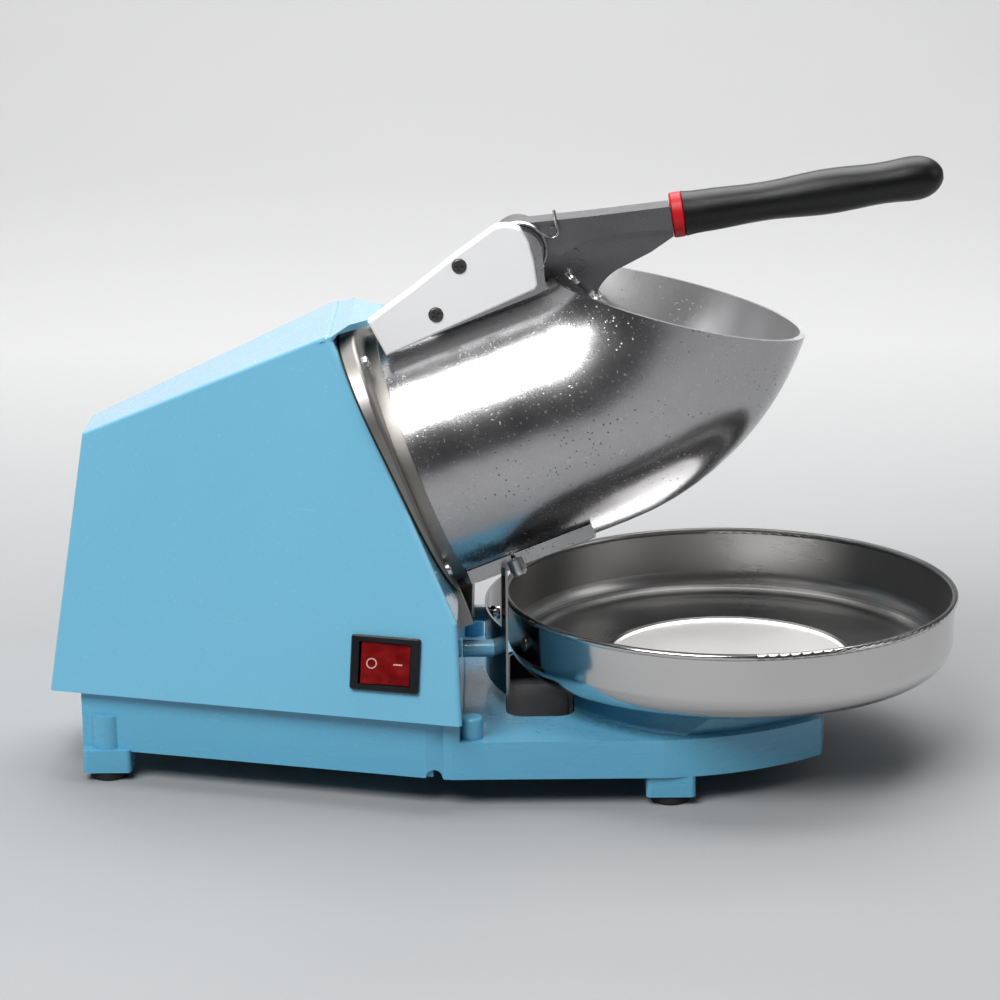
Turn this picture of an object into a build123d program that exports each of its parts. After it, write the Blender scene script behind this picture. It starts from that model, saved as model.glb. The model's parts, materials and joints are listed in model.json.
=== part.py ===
"""Table-top electric ice shaver: plastic housing and base, cast hopper with a lever press, and a loose pan.

Frame: +X is the front (the pan's side), -Y is the switch side, +Z is up, and the feet stand on Z = 0.
Lengths are in millimetres. The blade axis climbs towards the front, so the casting, the hopper and the
motor are drawn in a tilted frame of their own: x is up the flange, y is towards -Y, z runs along the axis.
"""

from build123d import *
from math import atan2, cos, degrees, hypot, radians, sin
import os

# ---- Placing -----------------------------------------------------------------------------------
ORIGIN_X = 3.25         # the box's middle lies this far in front of the design's datum
AXIS_TILT = 21.3        # blade axis above the horizontal, degrees
HOPPER_SEAT = (-36.1, 153.1)   # X and Z of the blade axis where the hopper sits on its casting
PAN_X = 115.8           # middle of the pan

# ---- Base moulding -----------------------------------------------------------------------------
FOOT_HEIGHT = 4.5
SKIRT_BOTTOM = 15.0
DECK_TOP = 34.0
DECK_THICK = 3.0
WALL = 3.0
BASE_REAR, BASE_NECK, BASE_FRONT = -209.0, -30.0, 163.0
REAR_HALF, NECK_HALF, TRAY_HALF = 40.0, 91.0, 92.0
PLATFORM_TOP = 46.0
PLATFORM_R = 80.0
LEG_REAR = (-196.5, 39.0)
LEG_FRONT = (81.5, 80.5)
FOOT_R = 9.5
GLAND_Z = 40.0
WELL_X, WELL_HALF_X, WELL_HALF_Y = 19.0, 17.0, 54.0

# ---- Housing -----------------------------------------------------------------------------------
HOUSING_BOTTOM = 45.0
HOUSING_REAR_LOW, HOUSING_REAR_TOP = (-224.3, HOUSING_BOTTOM), (-205.6, 171.5)
HOUSING_FRONT_TOP, HOUSING_FRONT_KNEE = (-81.3, 225.2), (-20.8, 92.5)
HOUSING_FRONT_LOW = (-19.0, HOUSING_BOTTOM)
SIDE_POINT = (-25.0, -99.5, HOUSING_BOTTOM)     # a point of the switch side's wall
SIDE_NORMAL = (-0.2817, -0.9391, 0.1925)
BROW_LOW, BROW_TOP = 224.3, 227.4
SWITCH_AT = (-55.5, -84.9, 71.8)

# ---- Casting, hopper and chute, along the blade axis --------------------------------------------
FLANGE_HALF_UP, FLANGE_HALF_ACROSS, FLANGE_CORNER = 77.0, 72.0, 43.0
FLANGE_FACE = -6.0
FLANGE_LOW, FLANGE_LOW_CORNER = 68.0, 58.0     # its rounder lower end
CHAMBER_R, CHAMBER_WALL, CHAMBER_REAR = 58.0, 4.0, -36.0
HOPPER_R, HOPPER_WALL = 66.0, 2.8
HINGE_U, HINGE_V = 81.7, 82.5       # lever hinge in the tilted frame: along the axis, above it
RIM_TIP, RIM_SLOPE = (149.3, 216.0), 13.8
EAR_INNER, EAR_OUTER = 19.5, 25.5
CHUTE_HALF, CHUTE_DROP, CHUTE_END = 41.0, 59.0, 66.0
STUD_U = 24.5
PIN_R = 4.0

GUARD_R, GUARD_HALF, GUARD_LOW, GUARD_TOP = 124.0, 50.0, 44.0, 108.0
GUARD_SCREW_Y, GUARD_SCREW_Z = 30.0, 62.0

# ---- Motor and rotor ---------------------------------------------------------------------------
MOTOR_R, MOTOR_FRONT, MOTOR_REAR = 37.0, -46.0, -134.0
SHAFT_R = 5.0
BLADE_DISC_R = 56.0

# ---- Lever -------------------------------------------------------------------------------------
GRIP_START, GRIP_END = (93.5, 275.0), (214.0, 292.6)
PUSHER_R, PUSHER_ANGLE = 58.0, -42.0
PUSHER_HALF_THICK, PAD_TOP, WEB_HALF = 1.6, 6.0, 6.0
OPEN_ANGLE = 75.0       # how far the lever lifts from the drawn pose, degrees

# ---- Safety switch -----------------------------------------------------------------------------
COVER_NEAR, COVER_FAR = -37.5, -26.0
MICRO_AT = (-1.4, 252.0)

# ---- Pan ---------------------------------------------------------------------------------------
PAN_R, PAN_RIM_TOP, PAN_SHEET = 113.4, 84.0, 1.2

# Screws and posts, as places in the frame their part is drawn in
COVER_FIXINGS = [(-175, 26), (-175, -26), (-60, 60), (-60, -60)]
FLANGE_SCREWS = [(63.0, 40.0), (63.0, -40.0), (-43.5, 56.0), (-43.5, -56.0)]
MOTOR_BOLTS = [(41 * cos(radians(a)), 41 * sin(radians(a))) for a in (45, 135, 225, 315)]
COVER_SCREWS = [(-18.6, 256.2), (-30.1, 232.6)]
PUSHER_SCREWS = [(30.0, 10.0), (46.0, 10.0), (30.0, -10.0), (46.0, -10.0)]

# Frames the parts are drawn in
AXIS = Plane(
    origin=(HOPPER_SEAT[0], 0, HOPPER_SEAT[1]),
    x_dir=(-sin(radians(AXIS_TILT)), 0, cos(radians(AXIS_TILT))),
    z_dir=(cos(radians(AXIS_TILT)), 0, sin(radians(AXIS_TILT))),
)
HINGE = AXIS.from_local_coords((HINGE_V, 0, HINGE_U))
SWITCH_PLANE = Plane(origin=SWITCH_AT, x_dir=(0.958, -0.287, 0), z_dir=SIDE_NORMAL)


def save(name, shape):
    """Move a node to the finished frame and write it."""
    export_step(Pos(-ORIGIN_X, 0, 0) * shape, f"parts/{name}.step")


def mirrored(shape):
    """The shape and its twin on the other side of the middle plane."""
    return [shape, mirror(shape, about=Plane.XZ)]


def cyl(radius, z0, z1, x=0.0, y=0.0):
    """An upright cylinder between two heights."""
    return Pos(x, y, (z0 + z1) / 2) * Cylinder(radius, z1 - z0)


def box(x0, x1, y0, y1, z0, z1):
    """A box given by its limits."""
    return Pos((x0 + x1) / 2, (y0 + y1) / 2, (z0 + z1) / 2) * Box(x1 - x0, y1 - y0, z1 - z0)


def across(profile, half):
    """Extrude a closed profile, drawn in X and Z, to both sides of the middle plane."""
    return extrude(Plane.XZ * profile, half, both=True)


def slab(profile, y0, y1):
    """Extrude a closed profile, drawn in X and Z, between two places across the machine."""
    return Pos(0, y1, 0) * extrude(Plane.XZ * profile, y1 - y0)


def outline(*points):
    """A closed straight-sided face."""
    return make_face(Polyline(*points, close=True))


def screw(radius, length, head_r, head_h, slot=0.9):
    """A pan-head cross-slot screw along +Z, with its head's seat at the origin."""
    head = cyl(head_r, 0, head_h)
    head = fillet(head.edges().group_by(Axis.Z)[-1], head_h * 0.45)
    for turn in (0, 90):
        reach = head_r * 0.6
        head -= Rot(0, 0, turn) * box(-reach, reach, -slot / 2, slot / 2, head_h * 0.45, head_h + 1)
    return head + cyl(radius, -length, 0)


# ---- Base --------------------------------------------------------------------------------------
def base_face(inset=0.0):
    """Plan of the base moulding, drawn smaller by inset."""
    rear, neck, front = BASE_REAR + inset, BASE_NECK, BASE_FRONT - inset
    a, b, c = REAR_HALF - inset, NECK_HALF - inset, TRAY_HALF - inset
    corner = (157.0 - inset, 60.0 - inset * 0.6)
    half = Polyline((rear, 0), (rear, a), (neck, b), (neck + 6, c), (78, c))
    side = ThreePointArc((78, c), (124 - inset * 0.4, 80.5 - inset), corner)
    nose = ThreePointArc(corner, (front, 0), (corner[0], -corner[1]))
    back = Polyline((78, -c), (neck + 6, -c), (neck, -b), (rear, -a), (rear, 0))
    far = ThreePointArc((corner[0], -corner[1]), (124 - inset * 0.4, -80.5 + inset), (78, -c))
    return make_face([*half.edges(), side, nose, far, *back.edges()])


def leg(x, y):
    """One leg: a square block under the skirt, run up to the deck as a screw boss."""
    block = box(x - 12, x + 12, y - 10, y + 10, FOOT_HEIGHT, SKIRT_BOTTOM + 1)
    block = fillet(block.edges().filter_by(Axis.Z), 2.5)
    return block + cyl(8.0, FOOT_HEIGHT, DECK_TOP - 1, x, y)


def well_box(z0, z1, inset=0.0):
    """The rounded slot of the drip well between two heights."""
    face = RectangleRounded(2 * (WELL_HALF_X - inset), 2 * (WELL_HALF_Y - inset), 9 - inset)
    return Pos(WELL_X, 0, z0) * extrude(face, z1 - z0)


def base_moulding():
    """Plinth, pan tray, raised platform, legs and the lip that the housing slips over."""
    body = extrude(Pos(0, 0, SKIRT_BOTTOM) * base_face(), DECK_TOP - SKIRT_BOTTOM)
    platform = Pos(PAN_X, 0, (DECK_TOP + PLATFORM_TOP) / 2) * Cone(
        PLATFORM_R + 9, PLATFORM_R, PLATFORM_TOP - DECK_TOP
    )
    body += platform & extrude(Pos(0, 0, SKIRT_BOTTOM) * base_face(6), 60)
    lift = split(
        extrude(Pos(0, 0, DECK_TOP) * base_face(), HOUSING_BOTTOM - DECK_TOP),
        bisect_by=Plane((BASE_NECK + 9.5, 0, 0), z_dir=(1, 0, 0)),
        keep=Keep.BOTTOM,
    )
    body += lift
    inside = extrude(Pos(0, 0, SKIRT_BOTTOM) * base_face(WALL), DECK_TOP - DECK_THICK - SKIRT_BOTTOM)
    body -= inside
    well = split(
        extrude(Pos(0, 0, DECK_TOP) * base_face(WALL), 30),
        bisect_by=Plane((BASE_NECK + 2, 0, 0), z_dir=(1, 0, 0)),
        keep=Keep.BOTTOM,
    )
    body -= well
    dish = Pos(PAN_X, 0, 0) * cyl(PLATFORM_R - 12, DECK_TOP - DECK_THICK - 1, PLATFORM_TOP - DECK_THICK)
    body -= dish & extrude(Pos(0, 0, 0) * base_face(10), 60)
    for x, y in (LEG_REAR, LEG_FRONT):
        for side in (1, -1):
            body += leg(x, side * y)
    for side in (1, -1):
        lug = cyl(5.5, DECK_TOP - 1, HOUSING_BOTTOM - 0.3, -14.5, side * 84)
        body += fillet(lug.edges().group_by(Axis.Z)[-1], 1.5)
        groove = Pos(-33, side * 91.5, SKIRT_BOTTOM + 16) * Box(9, 5, 40)
        body -= groove
        body -= Pos(-33, side * 91, SKIRT_BOTTOM) * Rot(90, 0, 0) * Cylinder(4.0, 8)
    body -= well_box(SKIRT_BOTTOM, PLATFORM_TOP + 1)
    ledge = well_box(SKIRT_BOTTOM + 3, DECK_TOP - DECK_THICK + 1, -3) - well_box(0, 60)
    body += ledge
    for x, y in (LEG_REAR, LEG_FRONT):
        for side in (1, -1):
            body -= cyl(2.1, 0, 24, x, side * y)
    for x in (-120, -60):
        body += box(x - 1.5, x + 1.5, -28, 28, DECK_TOP - DECK_THICK - 6, DECK_TOP - 1)
    for x, y in COVER_FIXINGS:
        body += cyl(5, SKIRT_BOTTOM + 2.2, DECK_TOP - 1, x, y) - cyl(1.4, 0, 28, x, y)
    gland = Pos(BASE_REAR, 0, GLAND_Z) * Rot(0, 90, 0) * Cylinder(4.65, 30)
    return body - gland


def bottom_cover():
    """Slotted plate that closes the underside of the plinth."""
    plate = extrude(Pos(0, 0, SKIRT_BOTTOM) * base_face(WALL + 0.4), 2.0)
    plate = split(plate, bisect_by=Plane((BASE_NECK - 9, 0, 0), z_dir=(1, 0, 0)), keep=Keep.BOTTOM)
    for side in (1, -1):
        plate -= box(-215, -182, side * 39 - 13, side * 39 + 13, 0, 30)
    for i in range(9):
        x = -160 + i * 10
        reach = 22 + 0.22 * (x + 160)
        plate -= Pos(x, 0, SKIRT_BOTTOM) * extrude(SlotOverall(2 * reach, 4, rotation=90), 4)
    for x, y in COVER_FIXINGS:
        plate -= cyl(1.9, 0, 30, x, y)
    return plate


def bottom_cover_screws():
    """Four self-tappers that hold the bottom cover."""
    one = Rot(180, 0, 0) * screw(1.3, 9, 3.2, 1.6)
    return [Pos(x, y, SKIRT_BOTTOM) * one for x, y in COVER_FIXINGS]


def foot_places():
    return [(x, s * y) for x, y in (LEG_REAR, LEG_FRONT) for s in (1, -1)]


def rubber_feet():
    """Four round feet, each with a sunk hole for its screw."""
    foot = cyl(FOOT_R, 0, FOOT_HEIGHT)
    foot = fillet(foot.edges().group_by(Axis.Z)[0], 0.8)
    foot -= cyl(4.2, -1, 2.4)
    foot -= cyl(2.1, 0, 10)
    return [Pos(x, y, 0) * foot for x, y in foot_places()]


def foot_screws():
    one = Rot(180, 0, 0) * screw(1.9, 14, 3.8, 1.6)
    return [Pos(x, y, 2.4) * one for x, y in foot_places()]


def drip_well():
    """Dark insert that catches drips below the chute."""
    cup = well_box(SKIRT_BOTTOM + 3.2, DECK_TOP - 1.0, 0.4) - well_box(SKIRT_BOTTOM + 5.2, 60, 2.4)
    return cup


def cable_gland():
    """Nut and collar of the cable inlet at the back; the cable itself is not part of the model."""
    body = cyl(4.6, -8, 3)
    flange = Pos(0, 0, 0.05) * extrude(RegularPolygon(5.9, 6), 4.0)
    nut = Pos(0, 0, -6.8) * extrude(RegularPolygon(5.9, 6), 3.6)
    shape = body + flange + nut - cyl(3.2, -20, 20)
    return Pos(BASE_REAR, 0, GLAND_Z) * Rot(0, -90, 0) * shape


# ---- Housing -----------------------------------------------------------------------------------
def side_plane(inset):
    """The switch-side wall's plane, moved inwards."""
    shift = [c - inset * n for c, n in zip(SIDE_POINT, SIDE_NORMAL)]
    return Plane(origin=tuple(shift), z_dir=SIDE_NORMAL)


def housing_section(inset):
    """The housing's side view run out past both sides, drawn smaller by inset."""
    drop = inset * 1.08
    profile = outline(
        (HOUSING_REAR_LOW[0] + inset, HOUSING_BOTTOM - inset),
        (HOUSING_REAR_TOP[0] + inset * 0.85, HOUSING_REAR_TOP[1] - drop * 0.75),
        (HOUSING_FRONT_TOP[0] - inset * 0.7, HOUSING_FRONT_TOP[1] - drop * 1.15),
        (HOUSING_FRONT_KNEE[0] - inset * 1.08, HOUSING_FRONT_KNEE[1] - inset * 0.2),
        (HOUSING_FRONT_LOW[0] - inset, HOUSING_BOTTOM - inset),
    )
    return across(profile, 130)


def housing_block(inset):
    """The wedge-shaped block of the housing, drawn smaller by inset on every face but the open bottom."""
    plane = side_plane(inset)
    block = split(housing_section(inset), bisect_by=plane, keep=Keep.BOTTOM)
    far = Plane(
        origin=(plane.origin.X, -plane.origin.Y, plane.origin.Z),
        z_dir=(SIDE_NORMAL[0], -SIDE_NORMAL[1], SIDE_NORMAL[2]),
    )
    return split(block, bisect_by=far, keep=Keep.BOTTOM)


def brow():
    """Hood along the top of the front face, over the casting's upper edge."""
    back, front = HOUSING_FRONT_TOP[0] - 5, HOUSING_FRONT_TOP[0] + 26
    plan = outline(
        (back, -46), (back + 6, -46), (front - 9, -23), (front, -18),
        (front, 18), (front - 9, 23), (back + 6, 46), (back, 46),
    )
    side = outline(
        (back, BROW_LOW - 3), (back + 14, BROW_TOP), (front - 3, BROW_TOP), (front, BROW_TOP - 1.4),
        (front, BROW_LOW), (back + 9, BROW_LOW), (back + 6, BROW_LOW - 3),
    )
    return extrude(Pos(0, 0, BROW_LOW - 10) * plan, 20) & across(side, 60)


def rear_vents():
    """Cutters for the air slots in the rear wall."""
    run = HOUSING_REAR_TOP[0] - HOUSING_REAR_LOW[0]
    lean = degrees(atan2(run, HOUSING_REAR_TOP[1] - HOUSING_REAR_LOW[1]))
    cutters = []
    for i in range(6):
        z = 84 + i * 10
        x = HOUSING_REAR_LOW[0] + (z - HOUSING_BOTTOM) * sin(radians(lean)) / cos(radians(lean))
        half = 20 - i * 0.9
        slot = extrude(SlotOverall(2 * half, 4), 12, both=True)
        cutters.append(Pos(x, 0, z) * Rot(0, 90 + lean, 0) * Rot(0, 0, 90) * slot)
    return cutters


def casting_hole(grow):
    """What the housing's front leaves open for the casting: a round hole and the outlet's slot."""
    radius = CHAMBER_R + CHAMBER_WALL
    hole = cyl(radius + grow, -24, 40) + cyl(radius + 0.3, CHAMBER_REAR - 0.5, -23)
    slot = box(-79 - grow, -50, -CHUTE_HALF - grow, CHUTE_HALF + grow, -60, 40)
    return AXIS.location * (hole + slot)


def housing_shell():
    """Upper housing: a shell open below, with the casting's hole, the switch's window and the vents."""
    outer = housing_block(0)
    outer = fillet(outer.edges().filter_by(lambda e: e.center().Z > HOUSING_BOTTOM + 2), 2.2)
    shell = outer - housing_block(WALL)
    shell -= casting_hole(0.8)
    shell += brow() - housing_block(0.6)
    for cutter in rear_vents():
        shell -= cutter
    window = SWITCH_PLANE.location * Box(30.4, 22.4, 30)
    shell -= window
    for v, w in FLANGE_SCREWS:
        boss = AXIS.location * Pos(v, w, 0) * cyl(4.5, -34, -10)
        boss = boss & housing_block(0.8)
        shell += boss
        shell -= AXIS.location * Pos(v, w, 0) * cyl(2.15, -40, 10)
    for side in (1, -1):
        for x in (-185, -105):
            y = side * (side_half(x, 60) - 7)
            post = cyl(4.0, HOUSING_BOTTOM + 1, 100, x, y) & housing_block(0.8)
            shell += post - cyl(1.4, 0, 66, x, y)
    return shell


def side_half(x, z):
    """Half width of the housing at a place and height."""
    nx, ny, nz = SIDE_NORMAL
    return -(SIDE_POINT[1] - (nx * (x - SIDE_POINT[0]) + nz * (z - SIDE_POINT[2])) / ny)


# ---- Casting and gasket ------------------------------------------------------------------------
def flange_slab(z0, z1, shrink=0.0):
    """The rounded-square plate of the casting."""
    face = RectangleRounded(
        2 * (FLANGE_HALF_UP - shrink), 2 * (FLANGE_HALF_ACROSS - shrink), FLANGE_CORNER - shrink
    )
    rise = 100.0
    low = RectangleRounded(
        FLANGE_LOW + rise - shrink, 2 * (FLANGE_HALF_ACROSS - shrink), FLANGE_LOW_CORNER - shrink
    )
    face = face & (Pos((rise - FLANGE_LOW + shrink) / 2, 0) * low)
    return AXIS.location * (Pos(0, 0, z0) * extrude(face, z1 - z0))


def blade_housing():
    """Grey casting: flange, raised seat for the hopper, blade chamber, outlet and motor mount."""
    plate = flange_slab(-24, FLANGE_FACE) - housing_section(-1.2)
    front_edges = [e for e in plate.edges() if abs(AXIS.to_local_coords(e.center()).Z - FLANGE_FACE) < 0.05]
    plate = fillet(front_edges, 2.0)
    drum = cyl(CHAMBER_R + CHAMBER_WALL, CHAMBER_REAR, FLANGE_FACE - 1)
    drum += cyl(HOPPER_R + 1, FLANGE_FACE - 2, 0)
    outlet = box(-78.0, -50, -CHUTE_HALF, CHUTE_HALF, CHAMBER_REAR, FLANGE_FACE)
    mount = cyl(44, MOTOR_FRONT + 0.2, CHAMBER_REAR + 1)
    solid = AXIS.location * (drum + outlet + mount) + plate
    bore = cyl(CHAMBER_R, CHAMBER_REAR + 4, 1)
    way = box(-75.0, -50, -CHUTE_HALF + 3, CHUTE_HALF - 3, CHAMBER_REAR + 4, 1)
    way -= cyl(HOPPER_R + 1.01, -3.0, 1)
    hollow = cyl(38, MOTOR_FRONT, CHAMBER_REAR - 3)
    shaft_hole = cyl(13.05, MOTOR_FRONT, -33.5) + cyl(7, -60, 0)
    solid -= AXIS.location * (bore + way + hollow + shaft_hole)
    for v, w in FLANGE_SCREWS:
        solid -= AXIS.location * Pos(v, w, 0) * cyl(2.3, -60, 10)
    for v, w in MOTOR_BOLTS:
        solid -= AXIS.location * Pos(v, w, 0) * cyl(2.1, MOTOR_FRONT, -40)
    return solid


def flange_gasket():
    """Thin seal between the casting and the housing."""
    ring = (flange_slab(-24, FLANGE_FACE - 0.1, 1.5) & housing_section(-0.95)) - housing_section(-0.05)
    ring -= AXIS.location * cyl(CHAMBER_R + CHAMBER_WALL + 0.6, -60, 40)
    ring -= AXIS.location * cyl(HOPPER_R + 2.5, FLANGE_FACE - 2.5, 40)
    ring -= AXIS.location * box(-90, -50, -CHUTE_HALF - 0.6, CHUTE_HALF + 0.6, -60, 40)
    for v, w in FLANGE_SCREWS:
        ring -= AXIS.location * Pos(v, w, 0) * cyl(2.3, -60, 10)
    return max(ring.solids(), key=lambda s: s.volume)


def flange_screws():
    one = screw(2.1, 22, 3.6, 2.2, 1.0)
    return [
        AXIS.location * Pos(v, w, FLANGE_FACE) * Rot(0, 0, 20 * i) * one
        for i, (v, w) in enumerate(FLANGE_SCREWS)
    ]


# ---- Hopper ------------------------------------------------------------------------------------
def elbow(radius, u0):
    """The hopper's body: a round tube that turns about the lever's hinge, drawn to a given radius."""
    tube = AXIS.location * cyl(radius, u0, HINGE_U)
    section = AXIS.location * Pos(0, 0, HINGE_U) * Circle(radius)
    turn = Axis((HINGE.X, 0, HINGE.Z), (0, -1, 0))
    bend = revolve(section, turn, 75)
    return tube + bend


def rim_plane(drop=0.0):
    """The hopper's sloping mouth."""
    s = radians(RIM_SLOPE)
    return Plane(origin=(RIM_TIP[0], 0, RIM_TIP[1] - drop), z_dir=(sin(s), 0, cos(s)))


def ear_face(grow=0.0):
    """Outline of a hinge ear in X and Z."""
    base_a = AXIS.from_local_coords((58, 0, 22))
    base_b = AXIS.from_local_coords((58, 0, 86.5))
    radius = 11.5 + grow
    lead = ThreePointArc(
        (HINGE.X - radius * 0.62, HINGE.Z + radius * 0.785),
        (HINGE.X + radius * 0.30, HINGE.Z + radius * 0.954),
        (HINGE.X + radius, HINGE.Z),
    )
    rest = Polyline(lead @ 1, (base_b.X, base_b.Z), (base_a.X, base_a.Z), lead @ 0)
    return make_face([lead, *rest.edges()])


def hopper():
    """Cast hopper: a tube that bends up to a wide mouth, with two ears for the lever's pin."""
    outer = elbow(HOPPER_R, 0)
    inner = elbow(HOPPER_R - HOPPER_WALL, -2)
    outer = split(outer, bisect_by=rim_plane(), keep=Keep.BOTTOM)
    shell = outer - inner
    slot = AXIS.location * box(40, 80, -EAR_INNER + 1.5, EAR_INNER - 1.5, 62, 110)
    shell -= slot
    ears = slab(ear_face(), EAR_INNER, EAR_OUTER)
    for ear in mirrored(ears):
        shell += ear - inner
    shell -= Pos(HINGE.X, 0, HINGE.Z) * Rot(90, 0, 0) * Cylinder(PIN_R + 0.02, 80)
    for x, z in COVER_SCREWS:
        shell -= Pos(x, -30, z) * Rot(90, 0, 0) * Cylinder(1.4, 20)
    return shell


def chute_channel():
    """Two side bars and a thin roof that hug the hopper's underside."""
    hug = cyl(HOPPER_R + 0.3, -5, 90)
    middle = CHUTE_HALF - 1.5
    bars = [
        box(-CHUTE_DROP, -40, side * middle - 1.5, side * middle + 1.5, 0.6, CHUTE_END)
        for side in (1, -1)
    ]
    skin = cyl(HOPPER_R + 1.9, 0.6, CHUTE_END - 2) & box(-90, -40, -CHUTE_HALF, CHUTE_HALF, 0, 90)
    shape = (bars[0] + bars[1] + skin) - hug
    for side in (1, -1):
        shape += Pos(-CHUTE_DROP + 1, side * (CHUTE_HALF - 1.5), STUD_U) * Rot(0, 90, 0) * Cylinder(4.2, 6)
        shape -= Pos(-CHUTE_DROP, side * (CHUTE_HALF - 1.5), STUD_U) * Rot(0, 90, 0) * Cylinder(1.9, 22)
    return AXIS.location * (shape - hug)


def chute_screws():
    """Studs that pull the channel up against the hopper."""
    one = screw(1.8, 6.8, 3.6, 2.6)
    return [
        AXIS.location * Pos(-CHUTE_DROP - 2, side * (CHUTE_HALF - 1.5), STUD_U) * Rot(0, -90, 0) * one
        for side in (1, -1)
    ]


def splash_guard():
    """Curved steel sheet behind the pan's rim, below the chute."""
    middle = (GUARD_LOW + GUARD_TOP) / 2
    height = GUARD_TOP - GUARD_LOW
    ring = Pos(PAN_X, 0, middle) * (Cylinder(GUARD_R, height) - Cylinder(GUARD_R - 1, height + 2))
    ring = ring & box(-30, 30, -GUARD_HALF, GUARD_HALF, 0, 200)
    ring -= box(-30, 30, -CHUTE_HALF - 4, CHUTE_HALF + 4, 77.5, 200)
    for side in (1, -1):
        ring -= Pos(-10, side * GUARD_SCREW_Y, GUARD_SCREW_Z) * Rot(0, 90, 0) * Cylinder(2.1, 40)
    return ring


def guard_x(radius):
    """Where the guard's screws meet a curve of this radius round the pan."""
    return PAN_X - (radius ** 2 - GUARD_SCREW_Y ** 2) ** 0.5


def guard_screws():
    """Screws that hold the guard to the housing."""
    one = Rot(0, 90, 0) * screw(1.9, 9, 3.8, 2.2)
    x = guard_x(GUARD_R - 1) + 1.1
    return [Pos(x, side * GUARD_SCREW_Y, GUARD_SCREW_Z) * one for side in (1, -1)]


def guard_spacers():
    """Tubes between the guard and the housing."""
    x0, x1 = HOUSING_FRONT_LOW[0] - 0.2, guard_x(GUARD_R) + 3
    spacers = []
    for side in (1, -1):
        tube = Rot(0, 90, 0) * (Cylinder(4.5, x1 - x0) - Cylinder(2.1, 40))
        tube = Pos((x0 + x1) / 2, side * GUARD_SCREW_Y, GUARD_SCREW_Z) * tube
        tube -= housing_block(-0.05)
        tube -= Pos(PAN_X, 0, GUARD_SCREW_Z) * Cylinder(GUARD_R + 0.05, 40)
        spacers.append(tube)
    return spacers


# ---- Switch cover and safety switch ------------------------------------------------------------
def cover_face(inset=0.0):
    """Side view of the white cover over the safety switch."""
    pts = [(-63.1, 229.1), (-43.1, 243.6), (-19.6, 261.9), (-4.1, 273.0)]
    nose = [(3.5, 275.6), (10.8, 273.4)]
    tail = [(15.1, 265.3), (17.4, 257.0), (18.9, 246.5), (17.8, 244.4), (-54.3, 212.4)]
    face = make_face([
        *Polyline(*pts).edges(),
        ThreePointArc(pts[-1], nose[0], nose[1]),
        *Polyline(nose[1], *tail, pts[0]).edges(),
    ])
    return offset(face, amount=-inset) if inset else face


def switch_cover():
    """Moulded cover, open towards the ear behind it."""
    body = slab(cover_face(), COVER_NEAR, COVER_FAR)
    near_edges = body.edges().group_by(Axis.Y)[0]
    body = fillet(near_edges, 1.2)
    body -= slab(cover_face(2.0), COVER_NEAR + 2, COVER_FAR + 1)
    body -= AXIS.location * cyl(HOPPER_R + 0.4, -30, 120)
    for x, z in COVER_SCREWS:
        post = Pos(x, (COVER_NEAR + COVER_FAR) / 2 + 0.5, z) * Rot(90, 0, 0) * Cylinder(3.4, 10)
        body += post
        body -= Pos(x, -30, z) * Rot(90, 0, 0) * Cylinder(1.8, 20)
        body -= Pos(x, COVER_NEAR, z) * Rot(90, 0, 0) * Cylinder(3.7, 1.6)
    return body


def cover_screws():
    one = screw(1.6, 13, 3.5, 1.7)
    return [Pos(x, COVER_NEAR + 0.8, z) * Rot(90, 0, 0) * Rot(0, 0, 30 * i) * one
            for i, (x, z) in enumerate(COVER_SCREWS)]


def microswitch():
    """Safety switch inside the cover; its plunger meets the cam on the hinge pin."""
    x, z = MICRO_AT
    body = box(x - 8, x + 6, -34.5, -26.5, z - 9, z + 9)
    return body - box(x + 1.4, x + 7, -32.0, -29.0, z + 3.9, z + 8.1)


def microswitch_terminals():
    x, z = MICRO_AT
    return [box(x - 12, x - 8.05, -33.2, -32.6, z + dz - 0.9, z + dz + 0.9) for dz in (-7, -4, -1)]


def microswitch_plunger():
    """Sprung plunger at the front of the safety switch."""
    x, z = MICRO_AT
    return box(x + 3.2, x + 7.1, -31.7, -29.3, z + 4.2, z + 7.8)


def hinge_pin():
    """Pin that turns with the lever; a flat near its end frees the safety switch when the lever is up."""
    near, far = -EAR_OUTER - 7.5, EAR_OUTER + 1.5
    pin = Pos(HINGE.X, (near + far) / 2, HINGE.Z) * Rot(90, 0, 0) * Cylinder(PIN_R, far - near)
    pin = chamfer(pin.edges(), 0.5)
    flat = Rot(0, OPEN_ANGLE, 0) * Pos(-PIN_R - 2.2, 0, 0) * Box(6, 6, 20)
    return pin - Pos(HINGE.X, near + 2, HINGE.Z) * flat


# ---- Motor -------------------------------------------------------------------------------------
def motor_can():
    """Rolled steel body of the motor."""
    ring = cyl(MOTOR_R, MOTOR_REAR + 6, MOTOR_FRONT - 6) - cyl(MOTOR_R - 2, MOTOR_REAR, MOTOR_FRONT)
    return AXIS.location * ring


def motor_cap(z_open, z_end, bearing_r):
    """End bell, open towards the can, with its bearing pocket."""
    low, high = min(z_open, z_end), max(z_open, z_end)
    bell = cyl(MOTOR_R, low, high)
    inner = cyl(MOTOR_R - 4, low + 3, high + 1) if z_open > z_end else cyl(MOTOR_R - 4, low - 1, high - 3)
    return bell - inner - cyl(bearing_r, low - 1, high + 1)


def motor_front_cap():
    cap = motor_cap(MOTOR_FRONT - 6, MOTOR_FRONT, 11.02)
    for v, w in MOTOR_BOLTS:
        ear = Pos(v, w, 0) * cyl(5, MOTOR_FRONT - 5, MOTOR_FRONT) - cyl(MOTOR_R - 1, -200, 0)
        cap += ear
    for v, w in MOTOR_BOLTS:
        cap -= Pos(v, w, 0) * cyl(2.1, -100, 0)
    return AXIS.location * cap


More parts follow.
